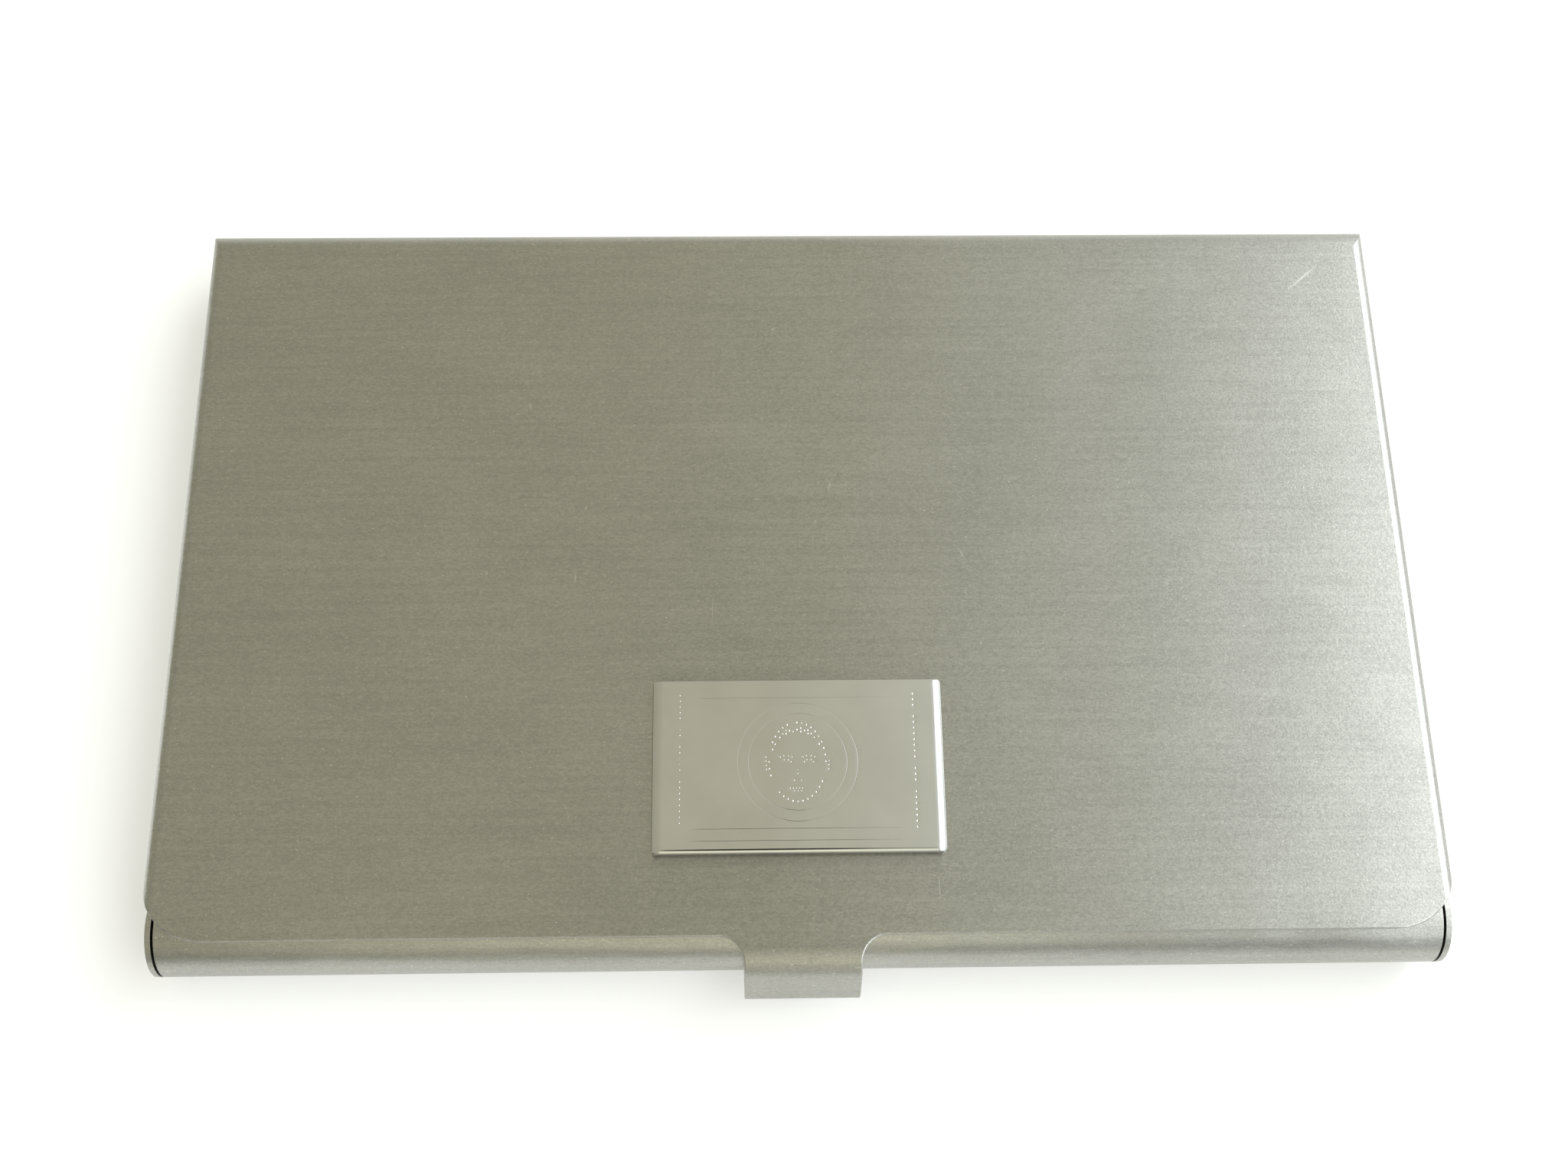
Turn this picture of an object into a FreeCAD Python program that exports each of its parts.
import FreeCAD, Part
import math
import os
import Sketcher

# Card case of thin spring steel: a tray with a rolled front edge, a flat lid hinged at the rear,
# and a lifter plate that tilts the cards up as the lid opens.
# Frame: +X to the right, +Y to the rear, +Z up, origin under the middle of the case.
# All sizes are millimetres and degrees.

DRIVING_SIZES = {
    "case_width": 94.0,         # over the lid's turned-down sides
    "lid_depth": 57.0,          # rear face to front edge, without the thumb tab
    "case_height": 7.0,         # without the badge
    "sheet": 0.4,               # thickness of every pressed piece
    "lid_gap": 0.1,             # clear space between the lid and the tray
    "side_bend": 1.0,           # outer radius of the lid's turned-down sides
    "side_drop": 1.5,           # how far the lid's sides come down
    "rear_bend": 1.95,          # outer radius between the lid's top and its spine
    "spine_drop": 4.25,         # how far the spine comes down
    "corner_round": 4.6,        # front corners of the lid, seen from above
    "corner_open": 3.22,        # how far the lid's front ends are open under its top
    "rear_corner": 0.8,         # rear corners of the lid, seen from above
    "edge_round": 0.12,         # broken edges of the lid's cut front edge and of the tab
    "tab_reach": 4.0,           # thumb tab past the lid's front edge
    "tab_width": 8.4,
    "tab_root": 1.9,            # concave radius where the tab leaves the lid
    "tab_bend": 2.6,            # outer radius of the tab
    "tab_angle": 70.0,          # how far the tab turns down
    "tab_tail": 2.9,            # straight end of the tab
    "roll_radius": 3.25,        # outer radius of the tray's rolled front edge
    "roll_front": 2.0,          # roll past the lid's front edge
    "lip_length": 5.25,         # flat top of the roll that holds the cards down
    "end_gap": 0.2,             # slit between the roll's ends and the end walls
    "slit_relief": 0.5,         # slit past the start of the roll
    "floor_bend": 0.8,          # outer radius between floor and end walls
    "hinge_inset": 3.2,         # hinge axis in front of the lid's rear face
    "hinge_height": 3.9,
    "ear_radius": 2.25,         # rounded rear end of the end walls, which sets their height
    "heel_inset": 5.6,          # room for the spine's foot under the hinge, from the rear
    "heel_height": 2.0,
    "heel_overlap": 1.0,        # floor past the start of the heel
    "lip_bend": 2.0,            # outer radius of the floor's rear lip
    "lip_height": 1.2,
    "rivet_radius": 0.6,
    "rivet_head": 1.15,
    "rivet_dome": 0.28,
    "press_play": 0.02,         # radial play of a pressed pin
    "running_play": 0.05,       # radial play of a turning pin
    "washer_radius": 1.5,
    "washer_play": 0.01,
    "arm_length": 5.0,          # hinge axis to lifter pin
    "arm_angle": 22.0,          # lifter pin below the hinge axis, lid shut
    "arm_half": 0.95,
    "strip_foot": 2.85,         # lower and upper edge of the hinge strip
    "strip_top": 4.95,
    "cheek_radius": 1.25,       # rounded front end of the hinge strip's cheeks
    "pin_radius": 0.45,
    "pin_head": 0.75,
    "pin_cap": 0.25,
    "open_angle": 105.0,        # the lid's travel
    "lift_angle": 8.0,          # the lifter's travel over the same time
    "lifter_floor": 0.6,        # underside of the lifter plate
    "lifter_front": -25.2,
    "lifter_rear": 20.0,
    "lifter_ear": 45.5,         # outer face of the lifter's ears
    "rib_length": 12.0,         # the lifter's side ribs, from its rear edge forward
    "rib_past_pin": 1.0,
    "rib_round": 0.7,
    "stub_past_ear": 0.1,       # pivot stubs past the inner face of the lifter's ears
    "pivot_back": 0.75,         # lifter pivot behind the roll's centre
    "pivot_height": 1.7,
    "pivot_radius": 0.5,
    "pivot_ear": 1.1,
    "slot_web": 0.45,           # metal round the cam slot
    "badge_width": 21.1,
    "badge_depth": 12.7,
    "badge_height": 1.25,
    "badge_round": 0.35,
    "badge_offset": -0.2,       # badge's middle, from the case's middle
    "badge_setback": 11.95,     # badge's middle behind the lid's front edge
    "pad_height": 0.25,
    "pad_inset": 0.6,
}

doc = FreeCAD.newDocument("card_case")
sheet = doc.addObject("Spreadsheet::Sheet", "Sizes")
for row, (alias, size) in enumerate(DRIVING_SIZES.items(), start=1):
    sheet.set("A%d" % row, alias)
    sheet.set("B%d" % row, str(size))
    sheet.setAlias("B%d" % row, alias)
doc.recompute()


def word(text):
    """An expression in which the driving sizes are written as plain words."""
    parts = text.replace("(", " ( ").replace(")", " ) ").split()
    named = " ".join("Sizes." + part if part in DRIVING_SIZES else part for part in parts)
    return named.replace("sin (", "sin(").replace("cos (", "cos(")


def number(text):
    """The value of such an expression."""
    found = sheet.evalExpression(word(text))
    return float(getattr(found, "Value", found))


# Places that several pieces share, as expressions of the driving sizes.
HALF_WIDTH = "case_width / 2"
REAR = "(lid_depth + tab_reach) / 2"
FRONT = "(tab_reach - lid_depth) / 2"
TOP = "case_height"
LID_UNDER = "(case_height - sheet)"
TRAY_TOP = "(case_height - sheet - lid_gap)"
LID_SIDE_IN = "(case_width / 2 - sheet)"
WALL_OUT = "(case_width / 2 - sheet - lid_gap)"
WALL_IN = "(case_width / 2 - 2 * sheet - lid_gap)"
CHEEK_OUT = "(case_width / 2 - 2 * sheet - 2 * lid_gap)"
CHEEK_IN = "(case_width / 2 - 3 * sheet - 2 * lid_gap)"
ROLL_END = "(case_width / 2 - 2 * sheet - lid_gap - end_gap)"
ROLL_Y = "((tab_reach - lid_depth) / 2 - roll_front + roll_radius)"
HINGE_Y = "((lid_depth + tab_reach) / 2 - hinge_inset)"
HINGE_Z = "hinge_height"
PIN_Y = "((lid_depth + tab_reach) / 2 - hinge_inset - arm_length * cos(arm_angle * 1 deg))"
PIN_Z = "(hinge_height - arm_length * sin(arm_angle * 1 deg))"
PIVOT_Y = "((tab_reach - lid_depth) / 2 - roll_front + roll_radius + pivot_back)"
TAB_FALL = "(tab_bend * sin(tab_angle * 1 deg) + tab_tail * cos(tab_angle * 1 deg))"
TAB_BEND_Y = "((tab_reach - lid_depth) / 2 - tab_reach + %s)" % TAB_FALL
TAB_BEND_Z = "(case_height - tab_bend)"
BEYOND = "2"                    # how far a cutting block runs past what it cuts


def bind(item, prop, text):
    item.setExpression(prop, word(text))


def edges_on(shape, *sides):
    """Names of the edges that lie on every named side of the shape's box."""
    box = shape.BoundBox
    limits = {
        "left": ("XMax", box.XMin), "right": ("XMin", box.XMax),
        "front": ("YMax", box.YMin), "rear": ("YMin", box.YMax),
        "bottom": ("ZMax", box.ZMin), "top": ("ZMin", box.ZMax),
    }
    names = []
    for index, edge in enumerate(shape.Edges, start=1):
        if all(abs(getattr(edge.BoundBox, limits[s][0]) - limits[s][1]) < 1e-6 for s in sides):
            names.append("Edge%d" % index)
    return names


def plane(body, role):
    return next(item for item in body.Origin.OriginFeatures if item.Role == role)


def new_sketch(body, role):
    sketch = body.newObject("Sketcher::SketchObject", body.Name + "_sketch")
    sketch.AttachmentSupport = [(plane(body, role), "")]
    sketch.MapMode = "FlatFace"
    return sketch


def polygon(sketch, corners):
    """A closed outline whose corners are pairs of expressions."""
    places = [FreeCAD.Vector(number(across), number(up), 0) for across, up in corners]
    sides = []
    for index, place in enumerate(places):
        following = places[(index + 1) % len(places)]
        sides.append(sketch.addGeometry(Part.LineSegment(place, following), False))
    for index, (across, up) in enumerate(corners):
        side, following = sides[index], sides[(index + 1) % len(sides)]
        sketch.addConstraint(Sketcher.Constraint("Coincident", side, 2, following, 1))
        start = places[index]
        for kind, text, value in (("DistanceX", across, start.x), ("DistanceY", up, start.y)):
            if abs(value) < 1e-9:
                other = -2 if kind == "DistanceX" else -1
                sketch.addConstraint(Sketcher.Constraint("PointOnObject", side, 1, other))
                continue
            held = sketch.addConstraint(Sketcher.Constraint(kind, -1, 1, side, 1, value))
            sketch.setExpression("Constraints[%d]" % held, word(text))


def block(name, x, y, z, rounds=()):
    """A box between three pairs of expressions. Each round is (radius, (side, side), ...)."""
    body = doc.addObject("PartDesign::Body", name)
    sketch = new_sketch(body, "XY_Plane")
    polygon(sketch, [(x[0], y[0]), (x[1], y[0]), (x[1], y[1]), (x[0], y[1])])
    pad = body.newObject("PartDesign::Pad", name + "_pad")
    pad.Profile = sketch
    bind(pad, "Length", "%s - ( %s )" % (z[1], z[0]))
    doc.recompute()
    for order, (radius, *pairs) in enumerate(rounds):
        base = body.Tip
        names = [edge for pair in pairs for edge in edges_on(base.Shape, *pair)]
        bend = body.newObject("PartDesign::Fillet", "%s_round_%d" % (name, order))
        bend.Base = (base, names)
        bind(bend, "Radius", radius)
        doc.recompute()
    bind(body, "Placement.Base.z", z[0])
    return body


def rod(name, radius, x, y, z):
    """A cylinder along X, from x[0] to x[1]."""
    item = doc.addObject("Part::Cylinder", name)
    item.Placement.Rotation = FreeCAD.Rotation(FreeCAD.Vector(0, 1, 0), 90)
    bind(item, "Radius", radius)
    bind(item, "Height", "%s - ( %s )" % (x[1], x[0]))
    bind(item, "Placement.Base.x", x[0])
    bind(item, "Placement.Base.y", y)
    bind(item, "Placement.Base.z", z)
    return item


def fuse(name, *items):
    joined = doc.addObject("Part::MultiFuse", name)
    joined.Shapes = list(items)
    return joined


def common(name, *items):
    shared = doc.addObject("Part::MultiCommon", name)
    shared.Shapes = list(items)
    return shared


def cut(name, base, *tools):
    """The base without the tools. Every tool has to remove something."""
    doc.recompute()
    before = base.Shape.Volume
    item = doc.addObject("Part::Cut", name)
    item.Base = base
    item.Tool = tools[0] if len(tools) == 1 else fuse(name + "_tools", *tools)
    doc.recompute()
    assert item.Shape.Volume < before - 1e-6, name + " cuts nothing"
    return item


def both_ways(low, high):
    """The same stretch of X on the right and on the left."""
    return (("right", (low, high)), ("left", ("0 - %s" % high, "0 - %s" % low)))


def turned(name, profile, y, z):
    """A piece turned about the X axis, from (x, radius) corners, set at height z and depth y."""
    body = doc.addObject("PartDesign::Body", name)
    sketch = new_sketch(body, "XY_Plane")
    polygon(sketch, profile)
    turn = body.newObject("PartDesign::Revolution", name + "_turn")
    turn.Profile = sketch
    turn.ReferenceAxis = (sketch, ["H_Axis"])
    turn.Angle = 360
    bind(body, "Placement.Base.y", y)
    bind(body, "Placement.Base.z", z)
    return body


def make_tray():
    """Tray: floor, end walls, rolled front edge, rear lip."""
    half = ("0 - %s" % WALL_OUT, WALL_OUT)
    inside = ("0 - %s" % WALL_IN, WALL_IN)
    roll = ("0 - %s" % ROLL_END, ROLL_END)
    length = ("%s - roll_radius" % ROLL_Y, "%s + ear_radius" % HINGE_Y)
    outer = block("tray_outer", half, length, ("0", TRAY_TOP),
                  [("floor_bend", ("left", "bottom"), ("right", "bottom"))])
    hollow = block("tray_hollow", inside, ("%s - roll_radius - %s" % (ROLL_Y, BEYOND),
                                           "%s + ear_radius + %s" % (HINGE_Y, BEYOND)),
                   ("sheet", "%s + %s" % (TRAY_TOP, BEYOND)),
                   [("floor_bend - sheet", ("left", "bottom"), ("right", "bottom"))])
    channel = cut("tray_channel", outer, hollow)

    outline = fuse(
        "tray_outline",
        rod("outline_nose", "roll_radius", half, ROLL_Y, "roll_radius"),
        block("outline_middle", half, (ROLL_Y, HINGE_Y), ("0", "%s + ear_radius" % HINGE_Z)),
        rod("outline_ear", "ear_radius", half, HINGE_Y, HINGE_Z))
    heel = cut("tray_heel",
               block("heel_block", ("0 - %s" % HALF_WIDTH, HALF_WIDTH),
                     ("%s - heel_inset" % REAR, "%s + %s" % (REAR, BEYOND)),
                     ("0 - %s" % BEYOND, "heel_height")),
               rod("heel_ear", "ear_radius", half, HINGE_Y, HINGE_Z))
    trimmed = cut("tray_trimmed", common("tray_sides", channel, outline), heel)

    slits = [block("slit_" + side, span, ("%s - roll_radius - %s" % (ROLL_Y, BEYOND),
                                          "%s + slit_relief" % ROLL_Y),
                   ("0 - %s" % BEYOND, "%s + %s" % (TRAY_TOP, BEYOND)))
             for side, span in both_ways(ROLL_END, WALL_IN)]
    walls = cut("tray_walls", trimmed, *slits)

    tube = cut("roll_tube",
               rod("roll_outer", "roll_radius", roll, ROLL_Y, "roll_radius"),
               rod("roll_inner", "roll_radius - sheet", roll, ROLL_Y, "roll_radius"))
    front_roll = common("roll_half", tube,
                        block("roll_window", roll, ("%s - roll_radius" % ROLL_Y, ROLL_Y),
                              ("0", "2 * roll_radius")))
    card_lip = block("card_lip", roll, (ROLL_Y, "%s + lip_length" % ROLL_Y),
                     ("2 * roll_radius - sheet", "2 * roll_radius"))

    lip_y = "(%s - lip_bend)" % REAR
    rear_floor = block("rear_floor", inside, ("%s - heel_inset - heel_overlap" % REAR, lip_y), ("0", "sheet"))
    lip_ring = cut("lip_ring",
                   rod("lip_outer", "lip_bend", inside, lip_y, "lip_bend"),
                   rod("lip_inner", "lip_bend - sheet", inside, lip_y, "lip_bend"))
    lip_window = block("lip_window", inside, (lip_y, "%s + %s" % (REAR, BEYOND)), ("0", "lip_height"))
    rear_lip = common("rear_lip", lip_ring, lip_window)

    stubs = [rod("pivot_stub_" + side, "pivot_radius", span, PIVOT_Y, "pivot_height")
             for side, span in both_ways("(lifter_ear - sheet - stub_past_ear)", "(%s + sheet / 2)" % WALL_IN)]
    joined = fuse("tray_joined", walls, front_roll, card_lip, rear_floor, rear_lip, *stubs)
    hole = rod("rivet_hole", "rivet_radius + press_play", half, HINGE_Y, HINGE_Z)
    return cut("base_shell", joined, hole)


def tab_rim(shape):
    """Numbers of the edges where the tab's side cuts meet its outer surface."""
    half, reach, angle = number("tab_width / 2"), number("tab_bend"), math.radians(number("tab_angle"))
    middle = FreeCAD.Vector(0, number(TAB_BEND_Y), number(TAB_BEND_Z))
    turn_end = FreeCAD.Vector(0, -math.sin(angle), math.cos(angle))

    def outside(place):
        across = FreeCAD.Vector(0, place.y, place.z) - middle
        flat, tail = across.z, across.dot(turn_end)
        return abs(place.x) > half - 1e-6 and place.y < number(FRONT) + 1e-6 and \
            min(abs(flat - reach), abs(across.Length - reach), abs(tail - reach)) < 1e-5

    rim = []
    for index, edge in enumerate(shape.Edges, start=1):
        stretch = edge.LastParameter - edge.FirstParameter
        places = [edge.valueAt(edge.FirstParameter + stretch * step / 4) for step in range(5)]
        if all(outside(place) for place in places):
            rim.append(index)
    return rim


def make_tab():
    """Thumb tab: flat root, bend and straight tail, narrowed by two rounded side cuts."""
    tab_half = "(tab_width / 2 + tab_root)"
    bend_y, bend_z = TAB_BEND_Y, TAB_BEND_Z
    span = ("0 - %s" % tab_half, tab_half)
    root = block("tab_flat", span, (bend_y, "%s + sheet" % FRONT), (LID_UNDER, TOP))
    sectors = []
    for name, radius in (("tab_bend_outer", "tab_bend"), ("tab_bend_inner", "tab_bend - sheet")):
        sector = rod(name, radius, span, bend_y, bend_z)
        sector.Placement.Rotation = FreeCAD.Rotation(
            FreeCAD.Vector(0, 0, 1), FreeCAD.Vector(0, -1, 0), FreeCAD.Vector(1, 0, 0), "XYZ")
        sectors.append(sector)
    bind(sectors[0], "Angle", "tab_angle * 1 deg")
    bend = cut("tab_bend_ring", *sectors)
    tail = doc.addObject("Part::Box", "tab_tail")
    tail.Placement.Rotation = FreeCAD.Rotation(FreeCAD.Vector(1, 0, 0), number("tab_angle"))
    bind(tail, "Length", "2 * %s" % tab_half)
    bind(tail, "Width", "tab_tail")
    bind(tail, "Height", "sheet")
    inner = "(tab_bend - sheet)"
    bind(tail, "Placement.Base.x", span[0])
    bind(tail, "Placement.Base.y", "%s - %s * sin(tab_angle * 1 deg) - tab_tail * cos(tab_angle * 1 deg)"
         % (bend_y, inner))
    bind(tail, "Placement.Base.z", "%s + %s * cos(tab_angle * 1 deg) - tab_tail * sin(tab_angle * 1 deg)"
         % (bend_z, inner))
    strip = fuse("tab_strip", root, bend, tail)
    cuts = []
    for side, limits in both_ways("(tab_width / 2)", "(%s + %s)" % (tab_half, BEYOND)):
        inner_side = "left" if side == "right" else "right"
        cuts.append(block("tab_side_" + side, limits, ("%s - tab_reach - %s" % (FRONT, BEYOND), FRONT),
                          ("0", "%s + %s" % (TOP, BEYOND)), [("tab_root", ("rear", inner_side))]))
    square = cut("tab_square", strip, *cuts)
    rounded = doc.addObject("Part::Fillet", "thumb_tab")
    rounded.Base = square
    size = number("edge_round")
    rounded.Edges = [(index, size, size) for index in tab_rim(square.Shape)]
    doc.recompute()
    assert rounded.Shape.Volume < square.Shape.Volume, "the tab's edges are not rounded"
    return rounded


def make_lid():
    """Lid: flat top, turned-down sides, spine at the rear, thumb tab in front."""
    foot = "(%s - spine_drop)" % TOP
    width = ("0 - %s" % HALF_WIDTH, HALF_WIDTH)
    depth = (FRONT, REAR)
    height = (foot, TOP)
    outer = common(
        "lid_outer",
        block("lid_sides", width, depth, height, [("side_bend", ("left", "top"), ("right", "top"))]),
        block("lid_spine", width, depth, height, [("rear_bend", ("rear", "top"))]),
        block("lid_corners", width, depth, height,
              [("corner_round", ("front", "left"), ("front", "right")),
               ("rear_corner", ("rear", "left"), ("rear", "right")),
               ("edge_round", ("front", "top"))]))
    inner_x = ("0 - %s" % LID_SIDE_IN, LID_SIDE_IN)
    inner_y = ("%s - %s" % (FRONT, BEYOND), "%s - sheet" % REAR)
    inner_z = ("0", LID_UNDER)
    inner = common(
        "lid_hollow",
        block("hollow_sides", inner_x, inner_y, inner_z,
              [("side_bend - sheet", ("left", "top"), ("right", "top"))]),
        block("hollow_spine", inner_x, inner_y, inner_z, [("rear_bend - sheet", ("rear", "top"))]))
    past_sides = ("%s - %s" % (width[0], BEYOND), "%s + %s" % (width[1], BEYOND))
    below_sides = block("below_sides", past_sides,
                        ("%s - %s" % (FRONT, BEYOND), "%s - 2 * sheet" % REAR),
                        ("0", "%s - side_drop" % TOP),
                        [("3 * sheet", ("rear", "top"))])
    front_ends = block("front_ends", past_sides,
                       ("%s - %s" % (FRONT, BEYOND), "%s + corner_open" % FRONT),
                       ("0", LID_UNDER))
    pan = cut("lid_pan", outer, inner, below_sides, front_ends)
    return fuse("lid_shell", pan, make_tab())


def make_hinge_strip():
    """Strip welded inside the spine, with a cheek at each end that carries the hinge."""
    span = ("0 - %s" % CHEEK_OUT, CHEEK_OUT)
    gap = ("0 - %s" % CHEEK_IN, CHEEK_IN)
    height = ("strip_foot", "strip_top")
    bar = cut("strip_bar",
              block("strip_outer", span, (HINGE_Y, "%s - sheet" % REAR), height,
                    [("2 * sheet", ("rear", "left"), ("rear", "right"))]),
              block("strip_inner", gap, ("%s - %s" % (HINGE_Y, BEYOND), "%s - 2 * sheet" % REAR),
                    ("0", TOP), [("sheet", ("rear", "left"), ("rear", "right"))]))
    pieces = [bar]
    for side, limits in both_ways(CHEEK_IN, CHEEK_OUT):
        pieces.append(rod("cheek_ear_" + side, "cheek_radius", limits, HINGE_Y, HINGE_Z))
        pieces.append(rod("cheek_toe_" + side, "arm_half", limits, PIN_Y, PIN_Z))
        arm = doc.addObject("Part::Box", "cheek_arm_" + side)
        arm.Placement.Rotation = FreeCAD.Rotation(FreeCAD.Vector(1, 0, 0), number("arm_angle"))
        bind(arm, "Length", "sheet")
        bind(arm, "Width", "arm_length")
        bind(arm, "Height", "2 * arm_half")
        bind(arm, "Placement.Base.x", limits[0])
        bind(arm, "Placement.Base.y", "%s + arm_half * sin(arm_angle * 1 deg)" % PIN_Y)
        bind(arm, "Placement.Base.z", "%s - arm_half * cos(arm_angle * 1 deg)" % PIN_Z)
        pieces.append(arm)
    joined = fuse("strip_joined", *pieces)
    hinge_holes = rod("strip_hinge_hole", "rivet_radius + running_play", span, HINGE_Y, HINGE_Z)
    pin_holes = rod("strip_pin_hole", "pin_radius + press_play", span, PIN_Y, PIN_Z)
    return cut("hinge_strip", joined, hinge_holes, pin_holes)


def slot_path():
    """The lifter pin's path over the lifter while lid and lifter turn at their fixed ratio."""
    hinge = FreeCAD.Vector(0, number(HINGE_Y), number(HINGE_Z))
    pivot = FreeCAD.Vector(0, number(PIVOT_Y), number("pivot_height"))
    steps = 24
    places = []
    for step in range(steps + 1):
        opened = math.radians(180 + number("arm_angle") - number("open_angle") * step / steps)
        lifted = number("lift_angle") * step / steps
        pin = hinge + FreeCAD.Vector(0, math.cos(opened), math.sin(opened)) * number("arm_length")
        turn = FreeCAD.Rotation(FreeCAD.Vector(1, 0, 0), -lifted)
        places.append(pivot + turn.multVec(pin - pivot))
    return Part.makePolygon(places)


def along_slot(name, reach, low, high):
    """A flat piece that keeps the same distance all round the slot's path."""
    outline = slot_path().makeOffset2D(number(reach), 0, False, False)
    face = Part.Face(outline)
    face.translate(FreeCAD.Vector(number(low), 0, 0))
    item = doc.addObject("Part::Feature", name)
    item.Shape = face.extrude(FreeCAD.Vector(number(high) - number(low), 0, 0))
    return item


def make_lifter():
    """Lifter plate with front ears on the pivot stubs and rear ears with cam slots."""
    half = ("0 - lifter_ear", "lifter_ear")
    pieces = [block("lifter_flat", half, ("lifter_front", "lifter_rear"),
                    ("lifter_floor", "lifter_floor + sheet"))]
    slots = []
    for side, limits in both_ways("(lifter_ear - sheet)", "lifter_ear"):
        pieces.append(rod("front_ear_" + side, "pivot_ear", limits, PIVOT_Y, "pivot_height"))
        pieces.append(block("front_foot_" + side, limits, ("lifter_front", "%s + 2 * pivot_ear" % PIVOT_Y),
                            ("lifter_floor", "pivot_height")))
        pieces.append(block("side_rib_" + side, limits, ("lifter_rear - rib_length", "%s + rib_past_pin" % PIN_Y),
                            ("lifter_floor + sheet / 2", "%s + pin_radius" % PIN_Z),
                            [("rib_round", ("front", "top"))]))
        pieces.append(along_slot("cam_ear_" + side, "pin_radius + running_play + slot_web", *limits))
        slots.append(along_slot("cam_slot_" + side, "pin_radius + running_play", *limits))
    joined = fuse("lifter_joined", *pieces)
    pivot_holes = rod("lifter_pivot_hole", "pivot_radius + running_play", half, PIVOT_Y, "pivot_height")
    return cut("lifter_plate", joined, pivot_holes, *slots)


def mirrored(profile):
    """The same turned outline on the left side, in the same order round."""
    return [("0 - ( %s )" % x, radius) for x, radius in reversed(profile)]


def make_pins():
    """Hinge rivets, their washers and the lifter pins, right and left."""
    rivet = [(CHEEK_IN, "0"), (CHEEK_IN, "rivet_radius"), (WALL_OUT, "rivet_radius"),
             (WALL_OUT, "rivet_head"), ("%s + rivet_dome / 2" % WALL_OUT, "rivet_head"),
             ("%s + rivet_dome" % WALL_OUT, "rivet_head - rivet_dome"), ("%s + rivet_dome" % WALL_OUT, "0")]
    washer = [("%s + washer_play" % CHEEK_OUT, "rivet_radius + running_play"),
              ("%s + washer_play" % CHEEK_OUT, "washer_radius"),
              ("%s - washer_play" % WALL_IN, "washer_radius"),
              ("%s - washer_play" % WALL_IN, "rivet_radius + running_play")]
    cap = "(lifter_ear - sheet - running_play)"
    pin = [("%s - pin_cap" % cap, "0"), ("%s - pin_cap" % cap, "pin_head - pin_cap / 2"),
           ("%s - pin_cap / 2" % cap, "pin_head"), (cap, "pin_head"), (cap, "pin_radius"),
           (CHEEK_OUT, "pin_radius"), (CHEEK_OUT, "0")]
    kinds = {"hinge_rivet": (rivet, HINGE_Y, HINGE_Z),
             "hinge_washer": (washer, HINGE_Y, HINGE_Z),
             "lifter_pin": (pin, PIN_Y, PIN_Z)}
    pieces = []
    for name, (profile, y, z) in kinds.items():
        pieces.append(turned(name + "_right", profile, y, z))
        pieces.append(turned(name + "_left", mirrored(profile), y, z))
    return pieces


def make_badge():
    """Badge plate and the pad that sticks it to the lid."""
    def around(middle, size, inset="0"):
        return ("%s - %s / 2 + %s" % (middle, size, inset), "%s + %s / 2 - %s" % (middle, size, inset))
    middle_y = "%s + badge_setback" % FRONT
    pad_top = "%s + pad_height" % TOP
    upright = [(end, side) for end in ("front", "rear") for side in ("left", "right")]
    pad = block("badge_pad", around("badge_offset", "badge_width", "pad_inset"),
                around(middle_y, "badge_depth", "pad_inset"), (TOP, pad_top))
    plate = block("badge_plate", around("badge_offset", "badge_width"), around(middle_y, "badge_depth"),
                  (pad_top, "%s + badge_height" % pad_top),
                  [("badge_round", *upright), ("badge_round", ("top",))])
    return [plate, pad]


nodes = [make_tray(), make_lid(), make_hinge_strip(), make_lifter()] + make_pins() + make_badge()
doc.recompute()

for item in doc.Objects:
    assert not {"Invalid", "Error"} & set(item.State), "%s failed: %s" % (item.Name, item.State)

os.makedirs("parts", exist_ok=True)
for node in nodes:
    node.Label = node.Name
    shape = node.Shape
    assert not shape.isNull() and shape.isValid(), node.Label + " is not a valid shape"
    assert len(shape.Solids) == 1, "%s has %d solids" % (node.Label, len(shape.Solids))
    shape.exportStep("parts/%s.step" % node.Label)
    print("%-20s %9.1f mm3" % (node.Label, shape.Volume))
